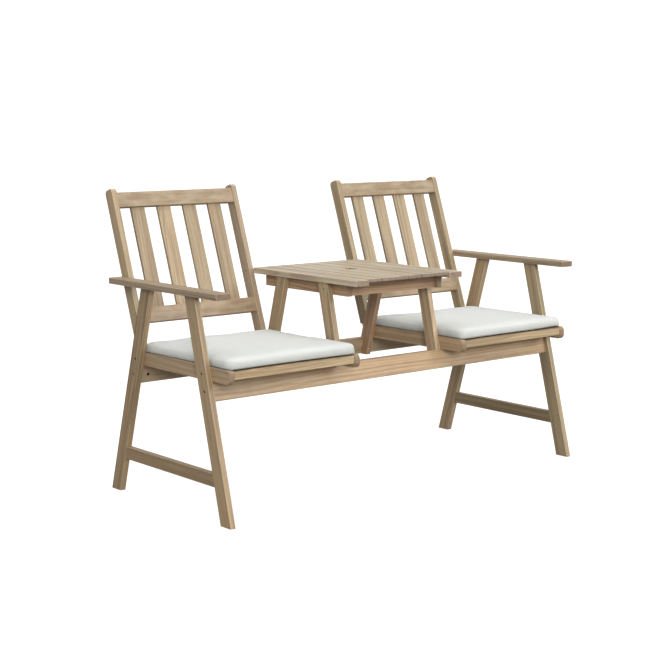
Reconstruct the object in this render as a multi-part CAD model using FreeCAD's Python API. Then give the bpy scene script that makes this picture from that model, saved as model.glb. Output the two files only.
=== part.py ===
"""Companion seat bench: two slatted wooden chairs joined by long rails, with a small table between them.

Millimetres. Seen from the front, +X is to the right, +Y is to the back and +Z is up.
The origin is on the floor, below the middle of the whole bench.
Places along Y are first measured from the middle between the front and the rear feet.
"""
import FreeCAD
import Part
import math
import os

# Timber stock
board_thickness = 18.0
thin_board_thickness = 10.0
arris_radius = 2.0
thin_arris_radius = 1.2

# Overall plan
between_seats = 414.0
seat_width = 465.0
armrest_overhang = 20.0

# Heights
armrest_top = 642.0
seat_top = 431.0
seat_rail_height = 40.0
long_rail_height = 56.0
stretcher_bottom = 103.0
stretcher_height = 38.0

# Seat legs: widths are measured level, leans are run for each unit of rise
feet_depth = 608.0
seat_leg_width = 48.0
front_leg_lean = 0.26
rear_leg_lean = 0.288
leg_tenon_length = 10.0
leg_tenon_width = 28.0
leg_tenon_thickness = 8.0
stretcher_tenon_length = 14.0
stretcher_tenon_height = 24.0
stretcher_tenon_thickness = 8.0

# Armrests
armrest_width = 48.0
armrest_front = -275.0
armrest_rear = 266.0

# Seat frames
seat_nose = -281.0
seat_rail_rear = 180.0
nose_radius = 15.0
front_bar_setback = 5.0
front_bar_drop = 4.0
front_bar_round = 5.0
bar_height = 22.5
rear_bar_front = 120.0
bar_tenon_length = 8.0
bar_tenon_height = 12.0
bar_tenon_thickness = 8.0
seat_slat_count = 6
seat_slat_width = 47.0
seat_slat_drop = 4.0
slat_tenon_length = 6.0

# Backs: sizes are along and square to the leaning posts
back_lean_degrees = 19.2
back_foot = 7.0
post_depth = 38.0
post_reach = 953.0
post_top_radius = 12.0
post_to_leg_gap = 10.0
post_lap_depth = 8.0
back_rail_recess = 3.0
back_rail_thickness = 20.0
back_rail_height = 46.0
back_bottom_rail_low = 541.0
back_top_rail_top = 940.0
back_rail_tenon_length = 10.0
back_rail_tenon_height = 28.0
back_rail_tenon_thickness = 8.0
back_slat_count = 4
back_slat_width = 47.0
back_slat_setback = 13.0

# Table
table_overhang = 6.0
table_front = -269.0
board_to_post_gap = 2.0
table_board_gap = 3.2
inner_board_count = 6
inner_board_setback = 7.0
board_tongue_width = 24.0
board_tongue_thickness = 9.0
batten_front = -204.0
batten_rear = 188.0
batten_height = 36.0
apron_setback = 12.0
apron_ledge_clearance = 1.0
parasol_hole_diameter = 38.0

# Table legs
table_leg_width = 44.0
table_front_leg_setback = 29.0
table_front_leg_lean = 0.233
table_rear_leg_setback = 67.4
table_rear_leg_lean = 0.272

# Cushions
cushion_thickness = 26.0
cushion_crown = 7.0
cushion_crown_reach = 150.0
cushion_front_setback = 2.0
cushion_side_setback = 1.0
cushion_rear_clearance = 6.0
cushion_front_corner_radius = 28.0
cushion_rear_corner_radius = 20.0
cushion_least_corner_radius = 10.0
cushion_upper_edge_radius = 10.0
cushion_lower_edge_radius = 4.0
cushion_side_draw = 3.0
cushion_lift_off = 0.4
cushion_edge_steps = 3
cushion_crown_steps = 3

# Hardware
bolt_shank_radius = 2.5
bolt_head_radius = 4.2
bolt_head_height = 3.0
bolt_head_sink = 3.0
head_hole_clearance = 0.5
hex_socket_radius = 1.9
hex_socket_depth = 1.8
bolt_end_cover = 4.0
barrel_nut_radius = 5.0
barrel_nut_length = 14.0
barrel_nut_from_leg = 30.0
barrel_nut_recess = 2.0
bolt_past_nut = 8.0
table_leg_bolt_drop = 22.0
rear_table_leg_bolt_rise = 20.0
front_table_leg_bolt_inset = 10.0
front_table_leg_bolt_height = 14.0

# Derived stations along X on the right hand side
seat_inner_x = between_seats / 2
table_edge_x = seat_inner_x + table_overhang
seat_outer_x = seat_inner_x + seat_width
leg_inner_x = seat_outer_x
leg_outer_x = leg_inner_x + board_thickness
armrest_outer_x = leg_outer_x + armrest_overhang
armrest_inner_x = armrest_outer_x - armrest_width
outer_post_x = leg_inner_x - post_to_leg_gap
inner_post_x = seat_inner_x
table_leg_inner_x = seat_inner_x - board_thickness
batten_inner_x = table_leg_inner_x - board_thickness

# Derived widths of the table boards, all alike, with equal gaps
table_board_count = inner_board_count + 2
table_board_width = (2 * table_edge_x - (table_board_count - 1) * table_board_gap) / table_board_count

# Derived stations along Z
armrest_underside = armrest_top - board_thickness
seat_rail_bottom = seat_top - seat_rail_height
long_rail_top = seat_rail_bottom
long_rail_bottom = long_rail_top - long_rail_height
inner_board_underside = armrest_top - thin_board_thickness
batten_bottom = armrest_underside - batten_height

# Derived stations along Y
front_foot = -feet_depth / 2
rear_foot = feet_depth / 2 - seat_leg_width
front_rail_level_thickness = board_thickness * math.hypot(1, front_leg_lean)
rear_rail_level_thickness = board_thickness * math.hypot(1, rear_leg_lean)
front_rail_foot = front_foot + (seat_leg_width - front_rail_level_thickness) / 2
rear_rail_foot = rear_foot + (seat_leg_width - rear_rail_level_thickness) / 2
table_front_leg_foot = front_foot + table_front_leg_setback
table_rear_leg_foot = feet_depth / 2 - table_rear_leg_setback
back_lean = math.tan(math.radians(back_lean_degrees))
post_level_depth = post_depth / math.cos(math.radians(back_lean_degrees))
table_rear = back_foot + back_lean * armrest_underside - board_to_post_gap
tiny = 0.001
hexagon_sides = 6

origin = FreeCAD.Vector(0, 0, 0)
along_x = FreeCAD.Vector(1, 0, 0)
along_y = FreeCAD.Vector(0, 1, 0)
along_z = FreeCAD.Vector(0, 0, 1)


def block(x_range, y_range, z_range):
    """A box between the given ends along each axis."""
    low = FreeCAD.Vector(x_range[0], y_range[0], z_range[0])
    return Part.makeBox(
        x_range[1] - x_range[0], y_range[1] - y_range[0], z_range[1] - z_range[0], low
    )


def side_board(outline, x_range):
    """A board whose side view is the outline of (y, z) points, between two places along X."""
    corners = [FreeCAD.Vector(x_range[0], y, z) for y, z in outline]
    face = Part.Face(Part.makePolygon(corners + corners[:1]))
    return face.extrude(along_x * (x_range[1] - x_range[0]))


def leaning_outline(foot, lean, width, z_range):
    """Side view of a board that leans by lean for each unit of rise, with level ends."""
    low, high = z_range
    return [
        (foot + lean * low, low),
        (foot + lean * low + width, low),
        (foot + lean * high + width, high),
        (foot + lean * high, high),
    ]


def leaning_board(x_range, foot, lean, width, z_range):
    """A board in the side plane that leans forwards or backwards."""
    return side_board(leaning_outline(foot, lean, width, z_range), x_range)


def soften(shape, chosen, radius):
    """Round the edges for which chosen(edge) is true."""
    edges = [edge for edge in shape.Edges if chosen(edge)]
    return shape.makeFillet(radius, edges)


def soften_along(shape, direction, radius):
    """Round the straight edges that run in one direction."""
    unit = FreeCAD.Vector(direction).normalize()

    def runs_along(edge):
        return abs(edge.tangentAt(edge.FirstParameter).dot(unit)) > 1 - tiny

    return soften(shape, runs_along, radius)


def mirrored(shape):
    """The left hand twin of a right hand piece."""
    return shape.mirror(origin, along_x)


def seat_leg(foot, lean):
    """One seat leg with a tenon on top for the armrest."""
    board = leaning_board(
        (leg_inner_x, leg_outer_x), foot, lean, seat_leg_width, (0, armrest_underside)
    )
    board = soften_along(board, (0, lean, 1), arris_radius)
    middle_x = (leg_inner_x + leg_outer_x) / 2
    middle_y = foot + lean * armrest_underside + seat_leg_width / 2
    tenon = block(
        (middle_x - leg_tenon_thickness / 2, middle_x + leg_tenon_thickness / 2),
        (middle_y - leg_tenon_width / 2, middle_y + leg_tenon_width / 2),
        (armrest_underside - leg_tenon_length, armrest_underside + leg_tenon_length),
    )
    return board.fuse(tenon).removeSplitter(), tenon


def low_stretcher():
    """The low side stretcher, cut to the lean of both legs, with a tenon at each end."""
    bottom = stretcher_bottom
    top = stretcher_bottom + stretcher_height
    outline = [
        (front_foot + seat_leg_width + front_leg_lean * bottom, bottom),
        (rear_foot - rear_leg_lean * bottom, bottom),
        (rear_foot - rear_leg_lean * top, top),
        (front_foot + seat_leg_width + front_leg_lean * top, top),
    ]
    board = side_board(outline, (leg_inner_x, leg_outer_x))
    board = soften_along(board, along_y, arris_radius)
    middle_x = (leg_inner_x + leg_outer_x) / 2
    middle_z = (bottom + top) / 2
    tenon = block(
        (middle_x - stretcher_tenon_thickness / 2, middle_x + stretcher_tenon_thickness / 2),
        (
            front_foot + seat_leg_width + front_leg_lean * middle_z - stretcher_tenon_length,
            rear_foot - rear_leg_lean * middle_z + stretcher_tenon_length,
        ),
        (middle_z - stretcher_tenon_height / 2, middle_z + stretcher_tenon_height / 2),
    )
    return board.fuse(tenon).removeSplitter(), tenon


def armrest():
    """The outer armrest, with every edge softened."""
    board = block(
        (armrest_inner_x, armrest_outer_x),
        (armrest_front, armrest_rear),
        (armrest_underside, armrest_top),
    )
    return board.makeFillet(arris_radius, board.Edges)


def long_rail(foot, lean, level_thickness):
    """A long rail between the end legs, tilted to lie in the plane of its legs."""
    rail = leaning_board(
        (-leg_inner_x, leg_inner_x), foot, lean, level_thickness, (long_rail_bottom, long_rail_top)
    )
    return soften_along(rail, along_x, arris_radius)


def seat_side_rail(x_range):
    """A side rail of a seat with a rounded nose."""
    rail = block(x_range, (seat_nose, seat_rail_rear), (seat_rail_bottom, seat_top))

    def on_nose_across(edge):
        box = edge.BoundBox
        return box.YMax < seat_nose + tiny and box.XLength > tiny

    rail = soften(rail, on_nose_across, nose_radius)

    def on_side_outline(edge):
        box = edge.BoundBox
        return box.XLength < tiny and box.YMin < seat_rail_rear - tiny

    return soften(rail, on_side_outline, arris_radius)


def seat_bar(y_front, bar_top, edge_round):
    """A cross bar between the side rails of a seat, tenoned into both."""
    z_range = (bar_top - bar_height, bar_top)
    x_range = (seat_inner_x + board_thickness, seat_outer_x - board_thickness)
    bar = block(x_range, (y_front, y_front + board_thickness), z_range)

    def upper_front(edge):
        box = edge.BoundBox
        return box.XLength > tiny and box.YMax < y_front + tiny and box.ZMin > bar_top - tiny

    bar = soften(bar, upper_front, edge_round)
    middle_y = y_front + board_thickness / 2
    middle_z = bar_top - bar_height / 2
    tenon = block(
        (x_range[0] - bar_tenon_length, x_range[1] + bar_tenon_length),
        (middle_y - bar_tenon_thickness / 2, middle_y + bar_tenon_thickness / 2),
        (middle_z - bar_tenon_height / 2, middle_z + bar_tenon_height / 2),
    )
    return bar.fuse(tenon).removeSplitter(), tenon


def spread(count, width, low, high):
    """Start of each of several boards of one width that stand between two ends with equal gaps."""
    gap = (high - low - count * width) / (count + 1)
    return [low + gap + index * (width + gap) for index in range(count)]


def seat_slats():
    """The thin boards under the cushion, tenoned into the front and rear bars."""
    front = seat_nose + front_bar_setback + board_thickness - slat_tenon_length
    rear = rear_bar_front + slat_tenon_length
    top = seat_top - seat_slat_drop
    starts = spread(
        seat_slat_count,
        seat_slat_width,
        seat_inner_x + board_thickness,
        seat_outer_x - board_thickness,
    )
    slats = []
    for start in starts:
        slat = block((start, start + seat_slat_width), (front, rear), (top - thin_board_thickness, top))
        slats.append(soften_along(slat, along_y, thin_arris_radius))
    return slats


def leaned_back(shape):
    """Put a piece drawn upright, with its front at y = 0, into the leaning plane of the back."""
    placed = shape.copy()
    placed.rotate(origin, along_x, -back_lean_degrees)
    placed.translate(FreeCAD.Vector(0, back_foot, 0))
    return placed


def back_post(x_range, lap_range):
    """A back post with a rounded top and a lap at its foot for the seat's side rail."""
    foot_reach = seat_rail_bottom / math.cos(math.radians(back_lean_degrees))
    post = block(x_range, (0, post_depth), (foot_reach - post_depth, post_reach))

    def across_top(edge):
        box = edge.BoundBox
        return box.XLength > tiny and box.ZMin > post_reach - tiny

    post = soften(post, across_top, post_top_radius)

    def on_side_outline(edge):
        box = edge.BoundBox
        return box.XLength < tiny and box.ZMax > foot_reach

    post = leaned_back(soften(post, on_side_outline, arris_radius))
    wide = (0, feet_depth)
    below_seat = block(x_range, wide, (0, seat_rail_bottom))
    lap = block(lap_range, wide, (0, seat_top))
    return post.cut(below_seat).cut(lap)


def back_rail(low, high):
    """A cross rail of the back, tenoned into both posts."""
    x_range = (inner_post_x + board_thickness, outer_post_x - board_thickness)
    y_range = (back_rail_recess, back_rail_recess + back_rail_thickness)
    rail = block(x_range, y_range, (low, high))
    rail = soften_along(rail, along_x, arris_radius)
    middle_y = (y_range[0] + y_range[1]) / 2
    middle_z = (low + high) / 2
    tenon = block(
        (x_range[0] - back_rail_tenon_length, x_range[1] + back_rail_tenon_length),
        (middle_y - back_rail_tenon_thickness / 2, middle_y + back_rail_tenon_thickness / 2),
        (middle_z - back_rail_tenon_height / 2, middle_z + back_rail_tenon_height / 2),
    )
    return leaned_back(rail.fuse(tenon).removeSplitter()), leaned_back(tenon)


def back_slats():
    """The upright slats of a back, tenoned into its two rails."""
    bottom = back_bottom_rail_low + back_rail_height - slat_tenon_length
    top = back_top_rail_top - back_rail_height + slat_tenon_length
    starts = spread(
        back_slat_count,
        back_slat_width,
        inner_post_x + board_thickness,
        outer_post_x - board_thickness,
    )
    slats = []
    for start in starts:
        slat = block(
            (start, start + back_slat_width),
            (back_slat_setback, back_slat_setback + thin_board_thickness),
            (bottom, top),
        )
        slats.append(leaned_back(soften_along(slat, along_z, thin_arris_radius)))
    return slats


def table_outer_board():
    """The thick outer board of the table; a thinner, narrower tongue runs on beside the back post."""
    board = block(
        (table_edge_x - table_board_width, table_edge_x),
        (table_front, table_rear),
        (armrest_underside, armrest_top),
    )
    tongue = block(
        (seat_inner_x - board_tongue_width, seat_inner_x),
        (table_rear - board_tongue_width, armrest_rear),
        (armrest_underside, armrest_underside + board_tongue_thickness),
    )
    board = board.fuse(tongue).removeSplitter()
    return board.makeFillet(arris_radius, board.Edges)


def table_inner_boards():
    """The thin boards between the outer ones, from left to right.

    The parasol hole is halfway between the front and the rear feet.
    """
    inner_edge = table_edge_x - table_board_width
    starts = spread(inner_board_count, table_board_width, -inner_edge, inner_edge)
    hole_start = FreeCAD.Vector(0, 0, armrest_underside)
    hole = Part.makeCylinder(parasol_hole_diameter / 2, board_thickness, hole_start)
    boards = []
    for start in starts:
        board = block(
            (start, start + table_board_width),
            (table_front + inner_board_setback, table_rear),
            (inner_board_underside, armrest_top),
        )
        boards.append(board.makeFillet(arris_radius, board.Edges).cut(hole))
    return boards


def batten():
    """The batten under an outer board, on the inner faces of the table legs."""
    board = block(
        (batten_inner_x, table_leg_inner_x),
        (batten_front, batten_rear),
        (batten_bottom, armrest_underside),
    )
    return soften_along(board, along_y, thin_arris_radius)


def apron(y_front):
    """A cross board between the battens; its middle rises to carry the thin boards."""
    y_range = (y_front, y_front + board_thickness)
    ledge_x = table_edge_x - table_board_width - apron_ledge_clearance
    low = block((-batten_inner_x, batten_inner_x), y_range, (batten_bottom, armrest_underside))
    high = block((-ledge_x, ledge_x), y_range, (batten_bottom, inner_board_underside))
    return low.fuse(high).removeSplitter()


def table_leg(foot, lean):
    """A table leg; its lower end is notched over the long rail by the caller."""
    board = leaning_board(
        (table_leg_inner_x, seat_inner_x),
        foot,
        lean,
        table_leg_width,
        (long_rail_bottom, armrest_underside),
    )
    return soften_along(board, (0, lean, 1), arris_radius)


def cushion_outline(inset, z):
    """Plan of a cushion at one height, with rounded corners and slightly drawn-in sides."""
    post_front_here = back_foot + back_lean * seat_top
    low_x = seat_inner_x + cushion_side_setback + inset
    high_x = seat_outer_x - cushion_side_setback - inset
    low_y = seat_nose + cushion_front_setback + inset
    high_y = post_front_here - cushion_rear_clearance - inset
    front = max(cushion_front_corner_radius - inset, cushion_least_corner_radius)
    rear = max(cushion_rear_corner_radius - inset, cushion_least_corner_radius)
    bend = 1 - math.sqrt(0.5)
    middle_x = (low_x + high_x) / 2
    middle_y = (low_y + high_y) / 2
    rounds = [
        ((high_x - front, low_y), (high_x - bend * front, low_y + bend * front), (high_x, low_y + front)),
        ((high_x, high_y - rear), (high_x - bend * rear, high_y - bend * rear), (high_x - rear, high_y)),
        ((low_x + rear, high_y), (low_x + bend * rear, high_y - bend * rear), (low_x, high_y - rear)),
        ((low_x, low_y + front), (low_x + bend * front, low_y + bend * front), (low_x + front, low_y)),
    ]
    side_middles = [
        (high_x - cushion_side_draw, middle_y),
        (middle_x, high_y - cushion_side_draw),
        (low_x + cushion_side_draw, middle_y),
        (middle_x, low_y + cushion_side_draw),
    ]
    edges = []
    for index in range(4):
        start, bulge, end = rounds[index]
        next_start = rounds[(index + 1) % 4][0]
        edges.append(arc_at(start, bulge, end, z))
        edges.append(arc_at(end, side_middles[index], next_start, z))
    return Part.Wire(edges)


def arc_at(start, middle, end, z):
    """A level arc through three plan points."""
    points = [FreeCAD.Vector(x, y, z) for x, y in (start, middle, end)]
    return Part.Arc(*points).toShape()


def cushion():
    """A loose boxed cushion: soft edges, drawn-in sides and a crowned top."""
    base = seat_top + cushion_lift_off
    rim = base + cushion_thickness
    turns = [math.radians(90) * step / cushion_edge_steps for step in range(cushion_edge_steps + 1)]
    lower = []
    upper = []
    for turn in turns:
        draw = 1 - math.sin(turn)
        rise = 1 - math.cos(turn)
        low_inset = cushion_lower_edge_radius * draw
        low_rise = cushion_lower_edge_radius * rise
        high_inset = cushion_upper_edge_radius * draw
        high_rise = cushion_upper_edge_radius * rise
        lower.append(cushion_outline(low_inset, base + low_rise))
        upper.append(cushion_outline(high_inset, rim - high_rise))
    crown = []
    for step in range(1, cushion_crown_steps + 1):
        share = step / cushion_crown_steps
        inset = cushion_upper_edge_radius + share * (cushion_crown_reach - cushion_upper_edge_radius)
        crown.append(cushion_outline(inset, rim + cushion_crown * share * (2 - share)))
    return Part.makeLoft(lower + upper[::-1] + crown, True, True)


def rod(radius, start, direction, length):
    """A round bar from a point along a direction."""
    return Part.makeCylinder(radius, length, start, direction)


def bolt_and_hole(surface_point, direction, length):
    """A sunk hex socket bolt that enters at a surface, and the hole that it needs."""
    unit = FreeCAD.Vector(direction).normalize()
    head_base = surface_point + unit * bolt_head_sink
    head = rod(bolt_head_radius, head_base, unit, bolt_head_height)
    shank = rod(bolt_shank_radius, head_base, unit, length - bolt_head_sink)
    socket_outline = Part.makePolygon(hexagon(head_base, unit, hex_socket_radius))
    socket = Part.Face(socket_outline).extrude(unit * hex_socket_depth)
    bolt = head.fuse(shank).cut(socket).removeSplitter()
    head_hole_depth = bolt_head_sink + bolt_head_height
    start = surface_point - unit * head_hole_depth
    head_hole = rod(bolt_head_radius + head_hole_clearance, start, unit, 2 * head_hole_depth)
    hole = head_hole.fuse(rod(bolt_shank_radius, surface_point, unit, length))
    return bolt, hole


def hexagon(centre, normal, radius):
    """Closed ring of the corners of a hexagon square to a direction."""
    across = normal.cross(along_z).normalize()
    upward = normal.cross(across).normalize()
    corners = []
    for index in range(hexagon_sides):
        angle = 2 * math.pi * index / hexagon_sides
        corners.append(centre + across * radius * math.cos(angle) + upward * radius * math.sin(angle))
    return corners + corners[:1]


def drill(pieces, names, hole):
    """Cut one hole through each of the named pieces."""
    for name in names:
        pieces[name] = pieces[name].cut(hole)


def right_hand_wood():
    """Every wooden piece of the right hand end, seat, back and table side."""
    pieces = {}
    front_leg, front_top_tenon = seat_leg(front_foot, front_leg_lean)
    rear_leg, rear_top_tenon = seat_leg(rear_foot, -rear_leg_lean)
    stretcher, stretcher_tenons = low_stretcher()
    pieces["front_leg"] = front_leg.cut(stretcher_tenons)
    pieces["rear_leg"] = rear_leg.cut(stretcher_tenons)
    pieces["low_stretcher"] = stretcher
    pieces["armrest"] = armrest().cut(front_top_tenon).cut(rear_top_tenon)

    front_bar_y = seat_nose + front_bar_setback
    front_bar_top = seat_top - front_bar_drop
    front_bar, front_bar_tenons = seat_bar(front_bar_y, front_bar_top, front_bar_round)
    rear_bar, rear_bar_tenons = seat_bar(rear_bar_front, seat_top, arris_radius)
    outer_rail = seat_side_rail((seat_outer_x - board_thickness, seat_outer_x))
    inner_rail = seat_side_rail((seat_inner_x, seat_inner_x + board_thickness))
    slats = seat_slats()
    for slat in slats:
        front_bar = front_bar.cut(slat)
        rear_bar = rear_bar.cut(slat)

    outer_post = back_post(
        (outer_post_x - board_thickness, outer_post_x),
        (outer_post_x - post_lap_depth, outer_post_x),
    )
    inner_post = back_post(
        (inner_post_x, inner_post_x + board_thickness),
        (inner_post_x, inner_post_x + post_lap_depth),
    )
    pieces["seat_outer_rail"] = outer_rail.cut(front_bar_tenons).cut(rear_bar_tenons)
    pieces["seat_inner_rail"] = inner_rail.cut(front_bar_tenons).cut(rear_bar_tenons).cut(inner_post)
    pieces["seat_front_bar"] = front_bar
    pieces["seat_rear_bar"] = rear_bar
    pieces["seat_slats"] = Part.makeCompound(slats)

    bottom_rail, bottom_tenons = back_rail(back_bottom_rail_low, back_bottom_rail_low + back_rail_height)
    top_rail, top_tenons = back_rail(back_top_rail_top - back_rail_height, back_top_rail_top)
    for index, slat in enumerate(back_slats()):
        bottom_rail = bottom_rail.cut(slat)
        top_rail = top_rail.cut(slat)
        pieces["back_slat_%d" % (index + 1)] = slat
    pieces["back_outer_post"] = outer_post.cut(bottom_tenons).cut(top_tenons)
    pieces["back_inner_post"] = inner_post.cut(bottom_tenons).cut(top_tenons)
    pieces["back_bottom_rail"] = bottom_rail
    pieces["back_top_rail"] = top_rail

    pieces["table_outer_board"] = table_outer_board()
    pieces["table_batten"] = batten()
    pieces["table_front_leg"] = table_leg(table_front_leg_foot, table_front_leg_lean)
    pieces["table_rear_leg"] = table_leg(table_rear_leg_foot, -table_rear_leg_lean)
    return pieces


def right_hand_leg_bolts():
    """Bolts through the seat legs, the holes that they need, and the barrel nuts of the lower ones."""
    inwards = -along_x
    bolts = []
    upper_z = seat_rail_bottom + seat_rail_height / 2
    lower_z = long_rail_bottom + long_rail_height / 2
    upper_length = 2 * board_thickness - bolt_end_cover
    lower_length = board_thickness + barrel_nut_from_leg + bolt_past_nut
    for end, foot, lean in (("front", front_foot, front_leg_lean), ("rear", rear_foot, -rear_leg_lean)):
        for height, length, mate in (
            (upper_z, upper_length, "seat_outer_rail"),
            (lower_z, lower_length, end + "_rail"),
        ):
            middle = foot + lean * height + seat_leg_width / 2
            start = FreeCAD.Vector(leg_outer_x, middle, height)
            bolt, hole = bolt_and_hole(start, inwards, length)
            bolts.append((bolt, hole, [end + "_leg", mate]))
    return bolts


def right_hand_barrel_nuts():
    """Barrel nuts let into the inner face of each long rail, and their holes."""
    nuts = []
    height = long_rail_bottom + long_rail_height / 2
    x = leg_inner_x - barrel_nut_from_leg
    for end, foot, lean, side in (
        ("front", front_foot, front_leg_lean, 1),
        ("rear", rear_foot, -rear_leg_lean, -1),
    ):
        middle = FreeCAD.Vector(x, foot + lean * height + seat_leg_width / 2, height)
        outwards = FreeCAD.Vector(0, side, -side * lean).normalize()
        far_end = middle - outwards * (barrel_nut_length / 2)
        nut = rod(barrel_nut_radius, far_end, outwards, barrel_nut_length)
        hole = rod(barrel_nut_radius, far_end, outwards, barrel_nut_length + 2 * barrel_nut_recess)
        nuts.append((nut, hole, [end + "_rail"]))
    return nuts


def right_hand_table_bolts():
    """Bolts that hold the table legs to the battens, the seat rails and the rear rail."""
    bolts = []
    two_boards = 2 * board_thickness - bolt_end_cover
    top_z = armrest_underside - table_leg_bolt_drop
    for end, foot, lean in (
        ("front", table_front_leg_foot, table_front_leg_lean),
        ("rear", table_rear_leg_foot, -table_rear_leg_lean),
    ):
        middle = foot + lean * top_z + table_leg_width / 2
        start = FreeCAD.Vector(seat_inner_x, middle, top_z)
        bolt, hole = bolt_and_hole(start, -along_x, two_boards)
        bolts.append((bolt, hole, ["table_" + end + "_leg", "table_batten"]))

    side_z = seat_rail_bottom + front_table_leg_bolt_height
    side_y = table_front_leg_foot + table_front_leg_lean * side_z + front_table_leg_bolt_inset
    start = FreeCAD.Vector(table_leg_inner_x, side_y, side_z)
    bolt, hole = bolt_and_hole(start, along_x, two_boards)
    bolts.append((bolt, hole, ["table_front_leg", "seat_inner_rail"]))

    rear_z = long_rail_bottom + rear_table_leg_bolt_rise
    rear_y = table_rear_leg_foot - table_rear_leg_lean * rear_z
    middle_x = (table_leg_inner_x + seat_inner_x) / 2
    backwards = FreeCAD.Vector(0, 1, table_rear_leg_lean).normalize()
    rail_far_face = rear_rail_foot + rear_rail_level_thickness - rear_leg_lean * rear_z
    length = rail_far_face - rear_y - bolt_end_cover
    bolt, hole = bolt_and_hole(FreeCAD.Vector(middle_x, rear_y, rear_z), backwards, length)
    bolts.append((bolt, hole, ["table_rear_leg", "rear_rail"]))
    return bolts


def right_hand_post_bolts():
    """The bolt through the inner back post into the tongue of the table board."""
    height = armrest_underside + board_tongue_thickness / 2
    middle_y = back_foot + back_lean * height + post_level_depth / 2
    start = FreeCAD.Vector(inner_post_x + board_thickness, middle_y, height)
    length = board_thickness + board_tongue_width - bolt_end_cover
    bolt, hole = bolt_and_hole(start, -along_x, length)
    return [(bolt, hole, ["back_inner_post", "table_outer_board"])]


def build():
    """All pieces by node name, each in the frame of the middle between the feet."""
    pieces = {}
    front_rail = long_rail(front_rail_foot, front_leg_lean, front_rail_level_thickness)
    rear_rail = long_rail(rear_rail_foot, -rear_leg_lean, rear_rail_level_thickness)
    pieces["front_rail"] = front_rail
    pieces["rear_rail"] = rear_rail

    right = right_hand_wood()
    right["table_front_leg"] = right["table_front_leg"].cut(front_rail)
    right["table_rear_leg"] = right["table_rear_leg"].cut(rear_rail)
    hardware = {
        "leg_bolts": right_hand_leg_bolts(),
        "barrel_nuts": right_hand_barrel_nuts(),
        "table_leg_bolts": right_hand_table_bolts(),
        "back_post_bolts": right_hand_post_bolts(),
    }
    leg_bolt_holes = [hole for bolt, hole, names in hardware["leg_bolts"]]
    for group, items in hardware.items():
        solids = []
        for solid, hole, names in items:
            for name in names:
                if name in right:
                    drill(right, [name], hole)
                else:
                    drill(pieces, [name], hole)
                    drill(pieces, [name], mirrored(hole))
            if group == "barrel_nuts":
                for bolt_hole in leg_bolt_holes:
                    solid = solid.cut(bolt_hole)
            solids.append(solid)
            solids.append(mirrored(solid))
        pieces[group] = Part.makeCompound(solids)

    right["cushion"] = cushion()
    for name, shape in right.items():
        pieces["right_" + name] = shape
        pieces["left_" + name] = mirrored(shape)

    aprons = {
        "table_front_apron": batten_front + apron_setback,
        "table_rear_apron": batten_rear - apron_setback - board_thickness,
    }
    for name, y_front in aprons.items():
        pieces[name] = apron(y_front)
    for index, board in enumerate(table_inner_boards()):
        pieces["table_inner_board_%d" % (index + 1)] = board
    return pieces


def main():
    """Write one file for each node, with the origin below the middle of the whole bench."""
    pieces = build()
    whole = Part.makeCompound(list(pieces.values())).BoundBox
    to_origin = FreeCAD.Vector(0, -(whole.YMin + whole.YMax) / 2, 0)
    os.makedirs("parts", exist_ok=True)
    for name, shape in pieces.items():
        placed = shape.copy()
        placed.translate(to_origin)
        placed.exportStep(os.path.join("parts", name + ".step"))
        volumes = [solid.Volume for solid in placed.Solids]
        print(name, "solids", len(volumes), "volume", round(sum(volumes)), "valid", placed.isValid())
    print("size", whole.XLength, whole.YLength, whole.ZLength, "shift", to_origin)


main()
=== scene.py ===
"""Companion seat bench: washed timber, steel hardware and two cloth cushions.

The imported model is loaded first. Its boards and hardware keep their shapes and get materials,
and its two plain cushions are replaced by filled and sewn ones.
"""

import math
import random

import bpy
from mathutils import Euler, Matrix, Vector, noise


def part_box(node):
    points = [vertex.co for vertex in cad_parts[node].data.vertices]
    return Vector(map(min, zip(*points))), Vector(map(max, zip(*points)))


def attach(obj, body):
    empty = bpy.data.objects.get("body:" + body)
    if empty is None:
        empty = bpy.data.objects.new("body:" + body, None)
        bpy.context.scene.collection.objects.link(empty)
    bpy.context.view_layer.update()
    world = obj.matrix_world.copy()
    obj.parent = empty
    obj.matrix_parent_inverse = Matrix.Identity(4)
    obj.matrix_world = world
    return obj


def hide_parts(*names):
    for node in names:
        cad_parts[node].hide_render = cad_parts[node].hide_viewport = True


bl_info = {
    "name": "Companion Seat Bench",
    "version": (1, 0, 0),
    "blender": (4, 5, 0),
    "location": "View3D > Sidebar > Bench",
    "description": "Timber, hardware, cushions and studio of a companion seat bench",
    "category": "Object",
}

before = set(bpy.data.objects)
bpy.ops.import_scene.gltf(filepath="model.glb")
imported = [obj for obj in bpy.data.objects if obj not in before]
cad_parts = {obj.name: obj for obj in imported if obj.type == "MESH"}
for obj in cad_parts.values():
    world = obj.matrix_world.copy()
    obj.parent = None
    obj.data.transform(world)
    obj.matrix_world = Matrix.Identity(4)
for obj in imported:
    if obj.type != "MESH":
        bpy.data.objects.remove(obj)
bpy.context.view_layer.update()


class Clouds:
    """A cloudy pattern: its clouds per metre along each axis, and how it shows.

    Layers and roughness say how much finer clouds break it up. It starts to show where its
    value passes start, and shows by its share where its value is full.
    """

    def __init__(self, per_metre, layers=2.0, roughness=0.5, start=0.0, full=1.0, share=1.0):
        self.per_metre = per_metre
        self.layers = layers
        self.roughness = roughness
        self.start = start
        self.full = full
        self.share = share


SIDES = ("left", "right")
INNER_BOARD_COUNT = 6
BACK_SLAT_COUNT = 4
SEAT_SLAT_COUNT = 6
INNER_BOARDS = ["table_inner_board_%d" % (index + 1) for index in range(INNER_BOARD_COUNT)]
BACK_SLATS = ["back_slat_%d" % (index + 1) for index in range(BACK_SLAT_COUNT)]

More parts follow.
